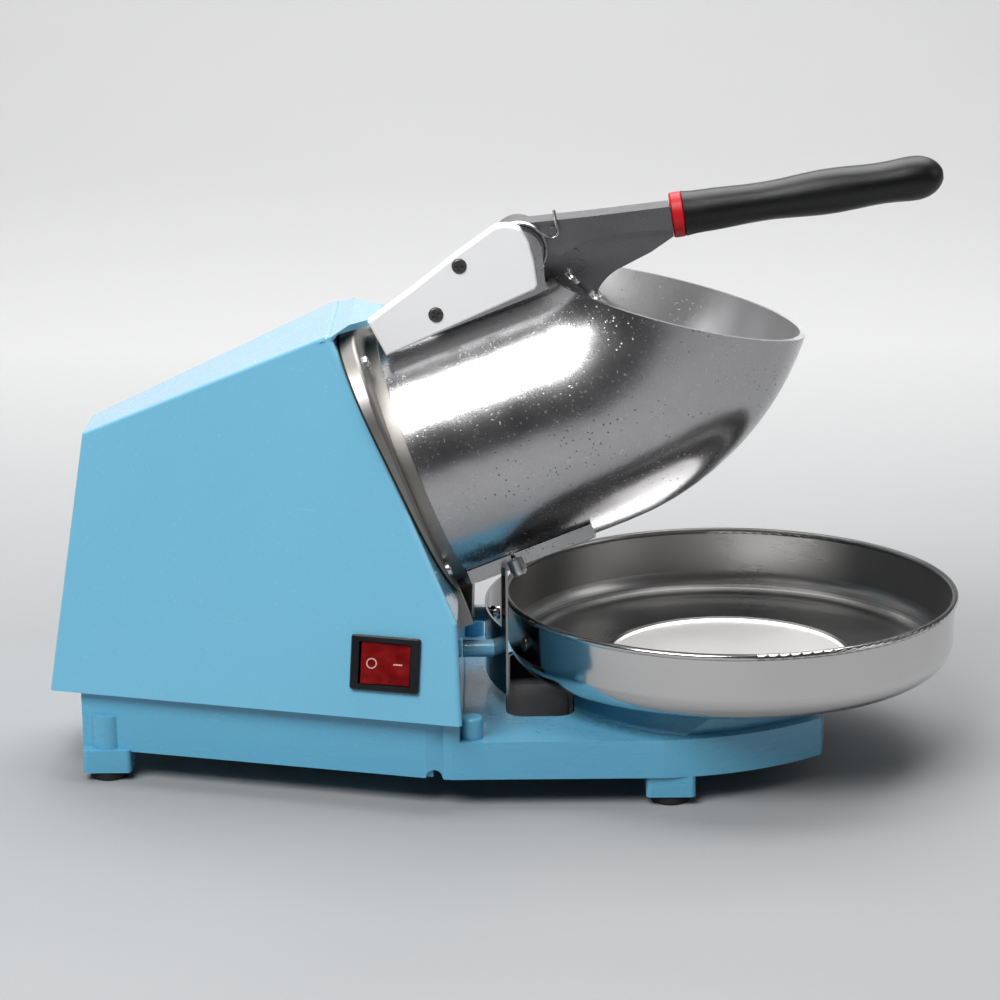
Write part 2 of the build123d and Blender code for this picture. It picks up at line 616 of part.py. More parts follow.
def motor_rear_cap():
    cap = motor_cap(MOTOR_REAR + 6, MOTOR_REAR, 8.02)
    for i in range(6):
        cap -= Rot(0, 0, 60 * i) * Pos(22, 0, MOTOR_REAR) * Cylinder(4.5, 20)
    return AXIS.location * cap


def motor_magnets():
    """Two curved field magnets bonded inside the can."""
    ring = cyl(MOTOR_R - 2.3, MOTOR_REAR + 16, MOTOR_FRONT - 20) - cyl(MOTOR_R - 8, MOTOR_REAR, MOTOR_FRONT)
    pieces = []
    for turn in (0, 180):
        wedge = Rot(0, 0, turn) * box(12, 60, -60, 60, MOTOR_REAR, MOTOR_FRONT)
        pieces.append(AXIS.location * (ring & wedge))
    return pieces


def ball_bearing(outer_r, inner_r, z0, z1):
    """A shielded bearing: the shaft turns in its bore with running clearance."""
    ring = cyl(outer_r, z0, z1) - cyl(inner_r, z0 - 1, z1 + 1)
    groove = Pos(0, 0, z1) * (Cylinder(outer_r - 1.6, 0.8) - Cylinder(inner_r + 1.4, 1))
    return AXIS.location * (ring - groove)


def motor_bolts():
    one = screw(2.0, 9.4, 3.8, 2.6)
    return [AXIS.location * Pos(v, w, MOTOR_FRONT - 5) * Rot(180, 0, 0) * one for v, w in MOTOR_BOLTS]


def shaft_seal():
    """Lip seal pressed into the chamber's floor."""
    return AXIS.location * (cyl(13.0, -40, -33.6) - cyl(SHAFT_R + 0.08, -50, 0))


def brush_holders():
    """Two brush boxes either side of the commutator."""
    parts = []
    for side in (1, -1):
        holder = Pos(0, side * 20, MOTOR_REAR + 13) * Box(8, 13, 7)
        brush = Pos(0, side * 19.5, MOTOR_REAR + 13) * Box(5, 20, 4)
        parts.append(AXIS.location * (holder - brush))
    return parts


def brushes():
    return [AXIS.location * (Pos(0, side * 18.6, MOTOR_REAR + 13) * Box(4.8, 9, 3.8)) for side in (1, -1)]


def rectifier():
    """Bridge rectifier on the deck behind the switch."""
    body = fillet(box(-78, -50, -12, 12, DECK_TOP, DECK_TOP + 9).edges().filter_by(Axis.Z), 2)
    for i in range(4):
        body += box(-75 + i * 7, -73 + i * 7, 12, 15, DECK_TOP + 3, DECK_TOP + 5)
    return body


def terminal_block():
    """Two-way mains terminal block near the inlet."""
    body = box(-190, -170, -13, 13, DECK_TOP, DECK_TOP + 12)
    for i in range(2):
        y = -6.5 + 13 * i
        body -= Pos(-180, y, DECK_TOP + 7) * Rot(0, 90, 0) * Cylinder(2.4, 30)
        body -= cyl(2.6, DECK_TOP + 6, DECK_TOP + 20, -180, y)
    return body


# ---- Rotor -------------------------------------------------------------------------------------
def motor_shaft():
    """Stepped shaft from the rear bearing to the blade disc."""
    shaft = cyl(SHAFT_R, MOTOR_REAR + 5, -22) + cyl(3.96, MOTOR_REAR - 2, MOTOR_REAR + 6)
    shaft += cyl(3.9, -23, 8)
    return AXIS.location * shaft


def armature():
    """Slotted iron core with its windings."""
    core = cyl(27.5, MOTOR_REAR + 26, MOTOR_FRONT - 24) - cyl(SHAFT_R, -200, 0)
    for i in range(10):
        core -= Rot(0, 0, 36 * i) * Pos(25.5, 0, -90) * Box(6, 2.4, 80)
    return AXIS.location * core


def windings():
    ends = []
    for z0, z1 in ((MOTOR_REAR + 19.5, MOTOR_REAR + 25.7), (MOTOR_FRONT - 23.7, MOTOR_FRONT - 18)):
        ring = cyl(23, z0, z1) - cyl(SHAFT_R + 0.05, -200, 0)
        ends.append(AXIS.location * ring)
    return ends


def commutator():
    ring = cyl(12.5, MOTOR_REAR + 7.5, MOTOR_REAR + 18.5) - cyl(SHAFT_R, -200, 0)
    for i in range(10):
        ring -= Rot(0, 0, 36 * i) * Pos(12.4, 0, MOTOR_REAR + 13) * Box(1.6, 0.8, 20)
    return AXIS.location * ring


def cooling_fan():
    """Fan between the winding and the front bearing."""
    hub = cyl(9, MOTOR_FRONT - 16, MOTOR_FRONT - 7) - cyl(SHAFT_R, -200, 0)
    for i in range(8):
        hub += Rot(0, 0, 45 * i) * Pos(17.5, 0, MOTOR_FRONT - 11.5) * Rot(25, 0, 0) * Box(19, 1.6, 8)
    return AXIS.location * hub


def blade_disc():
    """Cast disc that turns in the chamber's mouth, with two blade slots and four fins."""
    disc = cyl(BLADE_DISC_R, -10, -4) + cyl(14, -22, 1)
    for turn in (0, 180):
        disc -= Rot(0, 0, turn) * box(-3.5, 3.5, 17, 51, -20, 0)
        disc -= Rot(0, 0, turn) * box(3.4, 22, 17, 51, -5.6, 0)
        for y in (27, 45):
            disc -= Rot(0, 0, turn) * cyl(1.85, -30, 10, 14, y)
    disc -= cyl(3.9, -30, 10)
    return AXIS.location * disc


def drive_fins():
    """Upright fins that drag the ice round over the blades."""
    fins = []
    for turn in (90, 270):
        fin = Rot(0, 0, turn) * box(-2.5, 2.5, 18, 54, -4, 6)
        fins.append(AXIS.location * fillet(fin.edges().filter_by(Axis.Z), 2))
    return fins


def blades():
    """Two steel blades, each edge standing just over the disc's slot."""
    blade = extrude(Plane.XZ * outline((-1.5, -3.2), (3.0, -5.5), (21, -5.5), (21, -3.4), (4, -3.4)), -32)
    blade = Pos(0, 18, 0) * blade
    for y in (27, 45):
        blade -= cyl(1.9, -10, 5, 14, y)
    return [AXIS.location * Rot(0, 0, turn) * blade for turn in (0, 180)]


def blade_screws():
    one = screw(1.8, 5, 3.4, 1.8)
    return [
        AXIS.location * Rot(0, 0, turn) * Pos(14, y, -3.4) * one for turn in (0, 180) for y in (27, 45)
    ]


def hub_nut():
    """Domed nut on the end of the shaft."""
    nut = extrude(Pos(0, 0, 1) * RegularPolygon(9, 6), 8)
    nut += Pos(0, 0, 9) * (Sphere(7) & Pos(0, 0, 5) * Box(20, 20, 10))
    return AXIS.location * (nut - cyl(3.9, -5, 8.01))


# ---- Rocker switch -----------------------------------------------------------------------------
def on_switch(shape):
    return SWITCH_PLANE.location * shape


def rocker_frame():
    """Bezel and body of the mains rocker."""
    bezel = extrude(RectangleRounded(34.8, 26.6, 1.5), 2.4)
    bezel = chamfer(bezel.edges().group_by(Axis.Z)[-1], 0.7)
    body = box(-15, 15, -11, 11, -19, 0.2)
    shape = bezel + body - box(-13.1, 13.1, -10.3, 10.3, -12, 6)
    pivot = Pos(0, 0, -3.5) * Rot(90, 0, 0) * Cylinder(1.2, 22.4)
    return on_switch(shape - pivot)


def rocker_terminals():
    return [on_switch(box(x - 0.4, x + 0.4, -3, 3, -27, -19.02)) for x in (-9, 0, 9)]


def rocker_profile():
    """Section of the rocker across its pivot, pressed at the front end."""
    return outline(
        (-11.4, 3.4), (-0.5, 1.1), (12.2, 0.4), (11.0, -8.4), (3.0, -9.6), (-3.0, -9.6), (-10.0, -6.2)
    )


def rocker_button():
    """Red rocker, with sunk places for its two marks."""
    body = Pos(0, 9.9, 0) * extrude(Plane.XZ * rocker_profile(), 19.8)
    pivot = Pos(0, 0, -3.5) * Rot(90, 0, 0) * Cylinder(1.15, 21.6)
    return on_switch(body + pivot)


def rocker_marks():
    """A ring and a bar printed proud of the rocker's faces."""
    ring = Pos(-6.4, 0, 2.505) * Rot(0, 11.9, 0) * (Cylinder(2.6, 0.2) - Cylinder(2.0, 0.6))
    bar = Pos(6.4, 0, 0.88) * Rot(0, 3.2, 0) * Box(4.4, 0.7, 0.2)
    return [on_switch(ring), on_switch(bar)]


# ---- Lever -------------------------------------------------------------------------------------
def lever_arm():
    """Cast lever: barrel, web that dives into the hopper, top flange, foot pad and the tang in the grip."""
    hx, hz = HINGE.X, HINGE.Z
    barrel = Pos(hx, 0, hz) * Rot(90, 0, 0) * Cylinder(12.5, 2 * EAR_INNER - 1.2)
    foot_far, foot_near = on_pusher(48), on_pusher(12)
    web_face = make_face([
        *Polyline(
            (hx - 2, hz + 11), (45.4, 274.4), (83.9, 278.8), (86.2, 264.4), (74.8, 256.6), (60.1, 249.0)
        ).edges(),
        ThreePointArc((60.1, 249.0), (50.5, 240.5), foot_far),
        *Polyline(foot_far, foot_near, (hx - 2, hz + 11)).edges(),
    ])
    web = slab(web_face, -WEB_HALF, WEB_HALF)
    rail_face = outline(
        (hx, hz + 8), (hx + 2, hz + 12.4), (45.4, 275.3), (83.9, 279.7), (85.5, 268.6),
        (70, 268.0), (46, 264.5), (30, 256),
    )
    rail = slab(rail_face, -10, 10)
    pad = pusher_plane().location * box(24, 52, -14, 14, -PAD_TOP, -PUSHER_HALF_THICK - 0.1)
    body = barrel + web + rail + pad + along_grip(Pos(0, 0, 24) * Box(9, 11, 66))
    for x, z in ((37.0, 255.4), (40.6, 249.6)):
        body += Pos(x, -WEB_HALF - 0.3, z) * Rot(90, 0, 0) * (Cylinder(3.6, 1.0) - Cylinder(2.3, 1.2))
    body -= Pos(hx, 0, hz) * Rot(90, 0, 0) * Cylinder(PIN_R + 0.05, 80)
    body += Pos(26.5, -12, 268.6) * Rot(90, 0, 0) * Cylinder(2.0, 6)
    for place in PUSHER_SCREWS:
        body -= pusher_plane().location * Pos(*place, 0) * Cylinder(2.1, 30)
    return body


def on_pusher(reach):
    """X and Z of a point just above the pusher's back, at this reach from the hinge."""
    a = radians(PUSHER_ANGLE)
    up = PUSHER_HALF_THICK + 0.1
    return (HINGE.X + reach * cos(a) - up * sin(a), HINGE.Z + reach * sin(a) + up * cos(a))


def pusher_plane():
    """The pusher's flat face: a plane through the hinge, turned down into the hopper."""
    a = radians(PUSHER_ANGLE)
    along = Vector(cos(a), 0, sin(a))
    return Plane(origin=(HINGE.X, 0, HINGE.Z), x_dir=(along.X, 0, along.Z), z_dir=(sin(a), 0, -cos(a)))


def pusher():
    """Round ribbed plate that presses the ice on to the blades."""
    centre = Pos(HINGE_V, 0, 0)
    shape = centre * Cylinder(PUSHER_R, 2 * PUSHER_HALF_THICK)
    shape += centre * Pos(0, 0, 3.4) * (Cylinder(PUSHER_R, 5.0) - Cylinder(PUSHER_R - 2.6, 6.0))
    for i in range(3):
        shape += centre * Rot(0, 0, 60 * i) * Pos(0, 0, 2.6) * Box(2 * PUSHER_R - 4, 2.4, 3.6)
    shape -= Box(47, 90, 60)
    for place in PUSHER_SCREWS:
        shape -= Pos(*place, 0) * Cylinder(2.1, 30)
    return pusher_plane().location * shape


def pusher_screws():
    """Four screws through the lever's pad into the pusher."""
    one = Rot(180, 0, 0) * screw(2.0, 6.5, 3.6, 2.2)
    return [pusher_plane().location * Pos(*place, -PAD_TOP) * one for place in PUSHER_SCREWS]


def along_grip(shape):
    """Place a shape drawn along +Z from the grip's start on to the grip's line."""
    gx, gz = GRIP_START
    slope = degrees(atan2(GRIP_END[1] - gz, GRIP_END[0] - gx))
    return Pos(gx, 0, gz) * Rot(0, 90 - slope, 0) * shape


def grip_collar():
    """Red ring between the casting and the grip."""
    ring = Pos(0, 0, -8.4) * extrude(Ellipse(11.2, 9.6), 6)
    ring = chamfer(ring.edges(), 0.6)
    return along_grip(ring - Pos(0, 0, 0) * Box(9.05, 11.05, 40))


def grip():
    """Soft black handle, waisted in the middle and rounded at its end."""
    length = hypot(GRIP_END[0] - GRIP_START[0], GRIP_END[1] - GRIP_START[1])
    sections = [
        (-2.3, 11.2, 10.4), (10.0, 10.4, 10.0), (30.0, 9.6, 9.6), (46.0, 9.8, 9.9),
        (57.0, 10.6, 10.3), (80.0, 10.8, 10.6), (length - 14, 10.8, 10.6), (length - 5, 10.1, 9.9),
    ]
    body = loft([Pos(0, 0, z) * Ellipse(a, b) for z, a, b in sections])
    end = [(length - 5, 10.1, 9.9), (length, 7.6, 7.4), (length + 3.8, 2.6, 2.4)]
    tip = loft([Pos(0, 0, z) * Ellipse(a, b) for z, a, b in end])
    bore = Box(9.1, 11.1, 120)
    return along_grip(body + tip - bore)


def return_spring():
    """Wire torsion spring: three turns round the lever's barrel."""
    coils = []
    for i in range(3):
        ring = Pos(HINGE.X, -EAR_INNER + 2.4 + i * 1.7, HINGE.Z) * Rot(90, 0, 0) * Torus(13.4, 0.75)
        coils.append(ring)
    return coils


# ---- Pan ---------------------------------------------------------------------------------------
def pan():
    """Spun steel pan with a rolled rim, a rounded corner and a stepped floor."""
    r, t = PAN_R, PAN_SHEET
    bottom = PLATFORM_TOP + 0.4
    lines = [
        Line((0, bottom), (60, bottom)),
        Line((60, bottom), (63, bottom + 1.6)),
        Line((63, bottom + 1.6), (r - 15, bottom + 1.6)),
        ThreePointArc((r - 15, bottom + 1.6), (r - 4.6, bottom + 5.4), (r - 0.6, bottom + 14)),
        Line((r - 0.6, bottom + 14), (r, PAN_RIM_TOP - 2)),
        Line((r, PAN_RIM_TOP - 2), (r - t, PAN_RIM_TOP - 2)),
        Line((r - t, PAN_RIM_TOP - 2), (r - 0.6 - t, bottom + 14)),
        ThreePointArc((r - 0.6 - t, bottom + 14), (r - 5.6, bottom + 6.4), (r - 15, bottom + 1.6 + t)),
        Line((r - 15, bottom + 1.6 + t), (62.5, bottom + 1.6 + t)),
        Line((62.5, bottom + 1.6 + t), (59.5, bottom + t)),
        Line((59.5, bottom + t), (0, bottom + t)),
        Line((0, bottom + t), (0, bottom)),
    ]
    section = Plane.XZ * make_face(lines)
    bowl = revolve(section, Axis.Z, 360)
    roll = Pos(0, 0, PAN_RIM_TOP - 1.7) * Torus(r - 0.1, 1.7)
    return Pos(PAN_X, 0, 0) * (bowl + roll)


NODES = {
    "base_moulding": base_moulding,
    "bottom_cover": bottom_cover,
    "bottom_cover_screws": bottom_cover_screws,
    "rubber_feet": rubber_feet,
    "foot_screws": foot_screws,
    "drip_well": drip_well,
    "cable_gland": cable_gland,
    "housing_shell": housing_shell,
    "blade_housing": blade_housing,
    "flange_gasket": flange_gasket,
    "flange_screws": flange_screws,
    "hopper": hopper,
    "chute_channel": chute_channel,
    "chute_screws": chute_screws,
    "splash_guard": splash_guard,
    "guard_screws": guard_screws,
    "guard_spacers": guard_spacers,
    "switch_cover": switch_cover,
    "cover_screws": cover_screws,
    "microswitch": microswitch,
    "microswitch_terminals": microswitch_terminals,
    "microswitch_plunger": microswitch_plunger,
    "motor_can": motor_can,
    "motor_front_cap": motor_front_cap,
    "motor_rear_cap": motor_rear_cap,
    "motor_magnets": motor_magnets,
    "motor_bolts": motor_bolts,
    "front_bearing": lambda: ball_bearing(11.0, SHAFT_R + 0.03, MOTOR_FRONT - 6, MOTOR_FRONT),
    "rear_bearing": lambda: ball_bearing(8.0, 4.0, MOTOR_REAR, MOTOR_REAR + 5),
    "shaft_seal": shaft_seal,
    "brush_holders": brush_holders,
    "brushes": brushes,
    "rectifier": rectifier,
    "terminal_block": terminal_block,
    "rocker_frame": rocker_frame,
    "rocker_terminals": rocker_terminals,
    "rocker_button": rocker_button,
    "rocker_marks": rocker_marks,
    "motor_shaft": motor_shaft,
    "armature": armature,
    "windings": windings,
    "commutator": commutator,
    "cooling_fan": cooling_fan,
    "blade_disc": blade_disc,
    "drive_fins": drive_fins,
    "blades": blades,
    "blade_screws": blade_screws,
    "hub_nut": hub_nut,
    "lever_arm": lever_arm,
    "hinge_pin": hinge_pin,
    "pusher": pusher,
    "pusher_screws": pusher_screws,
    "grip_collar": grip_collar,
    "grip": grip,
    "return_spring": return_spring,
    "pan": pan,
}


def as_shape(result):
    """One shape from a function's result, which may be a list of separate solids."""
    if isinstance(result, (list, tuple)):
        solids = [s for piece in result for s in piece.solids()]
        return Compound(children=solids) if len(solids) > 1 else solids[0]
    return result


def main():
    os.makedirs("parts", exist_ok=True)
    for name, make in NODES.items():
        save(name, as_shape(make()))


main()
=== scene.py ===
"""Looks of a table-top ice shaver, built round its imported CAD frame.

Finishes, the wound return spring and the studio are made here. Everything is in metres in the frame's own
axes: +X is the catch pan's side, -Y the switch's side, and the feet stand on Z = 0.
"""

import json
import logging
import math
from dataclasses import dataclass
from enum import Enum
from typing import Any, Mapping, Optional, Sequence, Union

import bpy
from mathutils import Matrix, Vector


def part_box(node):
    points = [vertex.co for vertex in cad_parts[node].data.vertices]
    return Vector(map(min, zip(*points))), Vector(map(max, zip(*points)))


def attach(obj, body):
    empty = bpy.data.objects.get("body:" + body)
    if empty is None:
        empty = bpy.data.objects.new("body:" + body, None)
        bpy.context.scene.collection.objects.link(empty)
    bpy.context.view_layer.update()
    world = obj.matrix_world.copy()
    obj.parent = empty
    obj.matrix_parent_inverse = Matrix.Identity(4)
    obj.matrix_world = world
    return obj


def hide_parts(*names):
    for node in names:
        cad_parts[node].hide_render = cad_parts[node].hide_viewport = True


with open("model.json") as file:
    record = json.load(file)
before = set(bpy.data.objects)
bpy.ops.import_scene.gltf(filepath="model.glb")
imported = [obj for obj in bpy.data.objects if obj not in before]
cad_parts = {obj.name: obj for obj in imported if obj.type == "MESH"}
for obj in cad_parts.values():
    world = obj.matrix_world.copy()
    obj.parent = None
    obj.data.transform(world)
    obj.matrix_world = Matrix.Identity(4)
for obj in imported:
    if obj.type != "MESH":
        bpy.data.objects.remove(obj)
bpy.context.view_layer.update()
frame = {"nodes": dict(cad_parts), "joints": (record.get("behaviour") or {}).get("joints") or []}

LOG = logging.getLogger("ice_shaver")
MM = 0.001
HAIR = 0.001  # metres added to a radius so that a division never meets zero
MIX_FACTOR, MIX_UNDER, MIX_OVER, MIX_COLOUR = 0, 6, 7, 2  # a Mix node's sockets when it mixes colours

Colour = tuple[float, float, float]
Point = tuple[float, float, float]

# The first colour is both the dust specks' colour and that of the painted sheen on faces that look up.
DUST_AND_SHEEN: Colour = (0.85, 0.88, 0.90)
BARE_METAL: Colour = (0.95, 0.95, 0.94)
BRUSHED_BORE: Colour = (0.86, 0.86, 0.86)
# Painted highlight: the near-white colour given to the middle of the pan's floor.
PAINTED_FLOOR_HIGHLIGHT: Colour = (0.98, 0.97, 0.96)
PAPER_CLOUD: Colour = (0.50, 0.50, 0.51)


def shade(colour: Colour, factor: float, lift: float = 0.0) -> Colour:
    """A colour made darker or paler.

    Args:
        colour: the colour to start from.
        factor: what each part is multiplied by.
        lift: what is then added to each part.

    Returns:
        The new colour, with no part above one.
    """
    return tuple(min(1.0, c * factor + lift) for c in colour)


class Body(str, Enum):
    """The rigid bodies that pieces ride on."""

    MACHINE = "body"
    LEVER = "lever"
    ROTOR = "rotor"
    ROCKER = "rocker"
    PLUNGER = "plunger"
    PAN = "pan"


# ---- Shader writing ----------------------------------------------------------------------------
class Link:
    """A shader value that can stand in a Python expression."""

    def __init__(self, graph: "Graph", socket: bpy.types.NodeSocket) -> None:
        """Keep the graph and the output socket.

        Args:
            graph: the material's graph.
            socket: the output that carries the value.
        """
        self.graph = graph
        self.socket = socket

    def _math(self, operation: str, first: "Term", second: "Term") -> "Link":
        """Add a Math node with two terms."""
        return self.graph.node("ShaderNodeMath", {"operation": operation}, {0: first, 1: second})

    def __add__(self, other: "Term") -> "Link":
        """Sum."""
        return self._math("ADD", self, other)

    __radd__ = __add__

    def __sub__(self, other: "Term") -> "Link":
        """Difference."""
        return self._math("SUBTRACT", self, other)

    def __rsub__(self, other: "Term") -> "Link":
        """Difference, the other way round."""
        return self._math("SUBTRACT", other, self)

    def __mul__(self, other: "Term") -> "Link":
        """Product."""
        return self._math("MULTIPLY", self, other)

    __rmul__ = __mul__

    def __truediv__(self, other: "Term") -> "Link":
        """Quotient."""
        return self._math("DIVIDE", self, other)

    def __pow__(self, other: "Term") -> "Link":
        """Power."""
        return self._math("POWER", self, other)

    def __gt__(self, other: "Term") -> "Link":
        """One where the value is above the other, else nothing."""
        return self._math("GREATER_THAN", self, other)

    def __lt__(self, other: "Term") -> "Link":
        """One where the value is below the other, else nothing."""
        return self._math("LESS_THAN", self, other)


Term = Union[Link, float]
Value = Union[Link, float, Sequence[float]]


class Graph:
    """One material's nodes, with a principled shader at the end."""

    def __init__(self, name: str) -> None:
        """Start a material.

        Args:
            name: the material's name.
        """
        self.material = bpy.data.materials.new(name)
        self.material.use_nodes = True
        self.tree = self.material.node_tree
        self.tree.nodes.clear()
        self.shader = self.tree.nodes.new("ShaderNodeBsdfPrincipled")
        output = self.tree.nodes.new("ShaderNodeOutputMaterial")
        self.tree.links.new(self.shader.outputs["BSDF"], output.inputs["Surface"])

    def node(
        self,
        kind: str,
        settings: Optional[Mapping[str, Any]] = None,
        inputs: Optional[Mapping[Union[str, int], Value]] = None,
        out: Union[str, int] = 0,
    ) -> Link:
        """Add one node.

        Args:
            kind: the node's type.
            settings: its settings; "stops" are a ramp's places and colours.
            inputs: the values or links of its sockets, by name or number.
            out: which output to return.

        Returns:
            The chosen output.
        """
        made = self.tree.nodes.new(kind)
        for key, value in (settings or {}).items():
            if key == "stops":
                self._set_stops(made.color_ramp, value)
            else:
                setattr(made, key, value)
        for key, value in (inputs or {}).items():
            self._feed(made.inputs[key], value)
        return Link(self, made.outputs[out])

    @staticmethod
    def _set_stops(ramp: bpy.types.ColorRamp, stops: Sequence[tuple[float, float]]) -> None:
        """Set a ramp's stops to grey levels."""
        while len(ramp.elements) < len(stops):
            ramp.elements.new(0.5)
        for element, (place, level) in zip(ramp.elements, stops):
            element.position = place
            element.color = (level, level, level, 1.0)

    def _feed(self, socket: bpy.types.NodeSocket, value: Value) -> None:
        """Link a socket, or set its value."""
        if isinstance(value, Link):
            self.tree.links.new(value.socket, socket)
        elif isinstance(value, (tuple, list)) and socket.type == "RGBA" and len(value) == 3:
            socket.default_value = (*value, 1.0)
        else:
            socket.default_value = value

    def finish(self, **sockets: Value) -> bpy.types.Material:
        """Feed the shader's sockets.

        Args:
            sockets: values by socket name, with "_" for a space.

        Returns:
            The finished material.
        """
        for name, value in sockets.items():
            self._feed(self.shader.inputs[name.replace("_", " ")], value)
        return self.material

    def place(self) -> Link:
        """Where a point is, in the frame's axes."""
        return self.node("ShaderNodeTexCoord", out="Object")

    def stretched(self, scale: Point, turn: Point = (0.0, 0.0, 0.0)) -> Link:
        """The place, turned and then stretched.

        Args:
            scale: how much finer a texture gets along each axis.
            turn: rotation in radians.

        Returns:
            The mapped place.
        """
        sockets = {"Vector": self.place(), "Rotation": turn, "Scale": scale}
        return self.node("ShaderNodeMapping", None, sockets)

    def noise(
        self, scale: float, detail: float = 2.0, at: Optional[Link] = None, rough: float = 0.5
    ) -> Link:
        """Cloudy noise from 0 to 1.

        Args:
            scale: cells per metre.
            detail: octaves.
            at: the place it is read at.
            rough: how much the octaves add.

        Returns:
            The noise.
        """
        sockets = {"Vector": at or self.place(), "Scale": scale, "Detail": detail, "Roughness": rough}
        return self.node("ShaderNodeTexNoise", {"noise_dimensions": "3D"}, sockets)

    def cells(self, scale: float) -> Link:
        """Distance to the nearest of many scattered points."""
        sockets = {"Vector": self.place(), "Scale": scale}
        return self.node("ShaderNodeTexVoronoi", {"feature": "F1"}, sockets)

    def ramp(self, value: Link, *stops: tuple[float, float]) -> Link:
        """Grey level by value, straight between stops."""
        return self.node("ShaderNodeValToRGB", {"stops": stops}, {"Fac": value})

    def rise(self, value: Link, start: float, end: float) -> Link:
        """Nothing below the start, one above the end, straight between them."""
        return self.ramp(value, (start, 0.0), (end, 1.0))

    def fall(self, value: Link, start: float, end: float) -> Link:
        """One below the start, nothing above the end, straight between them."""
        return self.ramp(value, (start, 1.0), (end, 0.0))

    def blend(self, mask: Term, under: Value, over: Value) -> Link:
        """Colour that goes from one to another as the mask goes from 0 to 1."""
        sockets = {MIX_FACTOR: mask, MIX_UNDER: under, MIX_OVER: over}
        return self.node("ShaderNodeMix", {"data_type": "RGBA"}, sockets, out=MIX_COLOUR)

    def bump(self, height: Link, depth: float) -> Link:
        """Surface relief.

        Args:
            height: relief from 0 to 1.
            depth: its depth in metres.

        Returns:
            The bent normal.
        """
        sockets = {"Strength": 1.0, "Distance": depth, "Height": height}
        return self.node("ShaderNodeBump", None, sockets)

    def part_of(self, vector: Link, axis: str) -> Link:
        """One axis of a vector."""
        return self.node("ShaderNodeSeparateXYZ", None, {0: vector}, out=axis)

    def facing(self) -> Link:
        """Direction of the true surface normal."""
        return self.node("ShaderNodeNewGeometry", out="True Normal")


# ---- Finishes ----------------------------------------------------------------------------------
@dataclass(frozen=True)
class GlossMoulding:
    """Shiny injection-moulded plastic with a faint orange peel, light scuffs, dust specks and a painted
    sheen that makes faces that look up paler.
    """

    name: str
    colour: Colour
    roughness: float = 0.22
    coat: float = 0.5
    peel: float = 0.00004
    dust: float = 0.05
    # Painted sheen: how far faces that look up are blended towards the pale colour.
    painted_sheen: float = 0.03

    def make(self) -> bpy.types.Material:
        """Write the material."""
        g = Graph(self.name)
        cloud = g.noise(6.0, 3.0)
        body = g.blend(g.rise(cloud, 0.35, 0.7) * 0.55, self.colour, shade(self.colour, 0.90))
        lint = g.rise(g.noise(900.0, 2.0), 0.66, 0.74)
        # The lint specks are real dust; faces that look up get a painted sheen, blended towards the same
        # pale colour.
        up = g.rise(g.part_of(g.facing(), "Z"), 0.3, 0.9)
        body = g.blend(lint * self.dust + up * self.painted_sheen, body, DUST_AND_SHEEN)
        streak = g.noise(14.0, 8.0, g.stretched((1.0, 1.0, 6.0), (0.3, 0.5, 0.2)), 0.7)
        rough = g.rise(streak, 0.5, 0.75) * 0.10 + lint * 0.2 + self.roughness
        relief = g.noise(260.0, 1.0) + g.noise(35.0, 1.0) * 2.0
        return g.finish(
            Base_Color=body,
            Roughness=rough,
            Coat_Weight=self.coat,
            Coat_Roughness=0.06,
            IOR=1.5,
            Normal=g.bump(relief, self.peel),
        )


@dataclass(frozen=True)
class MatteMoulding:
    """Fine-grained matte plastic, rubber or bakelite."""

    name: str
    colour: Colour
    roughness: float = 0.5
    grain: float = 1200.0
    relief: float = 0.00006
    wear: float = 0.10

    def make(self) -> bpy.types.Material:
        """Write the material."""
        g = Graph(self.name)
        patches = g.rise(g.noise(40.0, 5.0), 0.4, 0.7)
        specks = g.rise(g.noise(self.grain * 0.6, 2.0), 0.6, 0.75)
        worn = patches * self.wear + specks * self.wear * 0.6
        rough = patches * 0.10 + specks * 0.08 + (self.roughness - 0.05)
        return g.finish(
            Base_Color=g.blend(worn, self.colour, shade(self.colour, 1.4, 0.006)),
            Roughness=rough,
            IOR=1.48,
            Normal=g.bump(g.noise(self.grain, 2.0), self.relief),
        )


@dataclass(frozen=True)
class Bore:
    """The inside of a tube about an axis that lies square to Y."""

    start: Point
    direction: Point

    def mask(self, g: Graph) -> Link:
        """One on faces that look towards the axis, zero elsewhere.

        Args:
            g: the graph that the mask is written into.

        Returns:
            The mask.
        """
        place, normal = g.place(), g.facing()
        across_x, across_z = -self.direction[2], self.direction[0]
        x, z = g.part_of(place, "X") - self.start[0], g.part_of(place, "Z") - self.start[2]
        y = g.part_of(place, "Y") - self.start[1]
        up = x * across_x + z * across_z
        tilt = g.part_of(normal, "X") * across_x + g.part_of(normal, "Z") * across_z
        outward = (tilt * up + g.part_of(normal, "Y") * y) / ((up * up + y * y) ** 0.5 + HAIR)
        return g.fall(outward * 0.5 + 0.5, 0.42, 0.5)


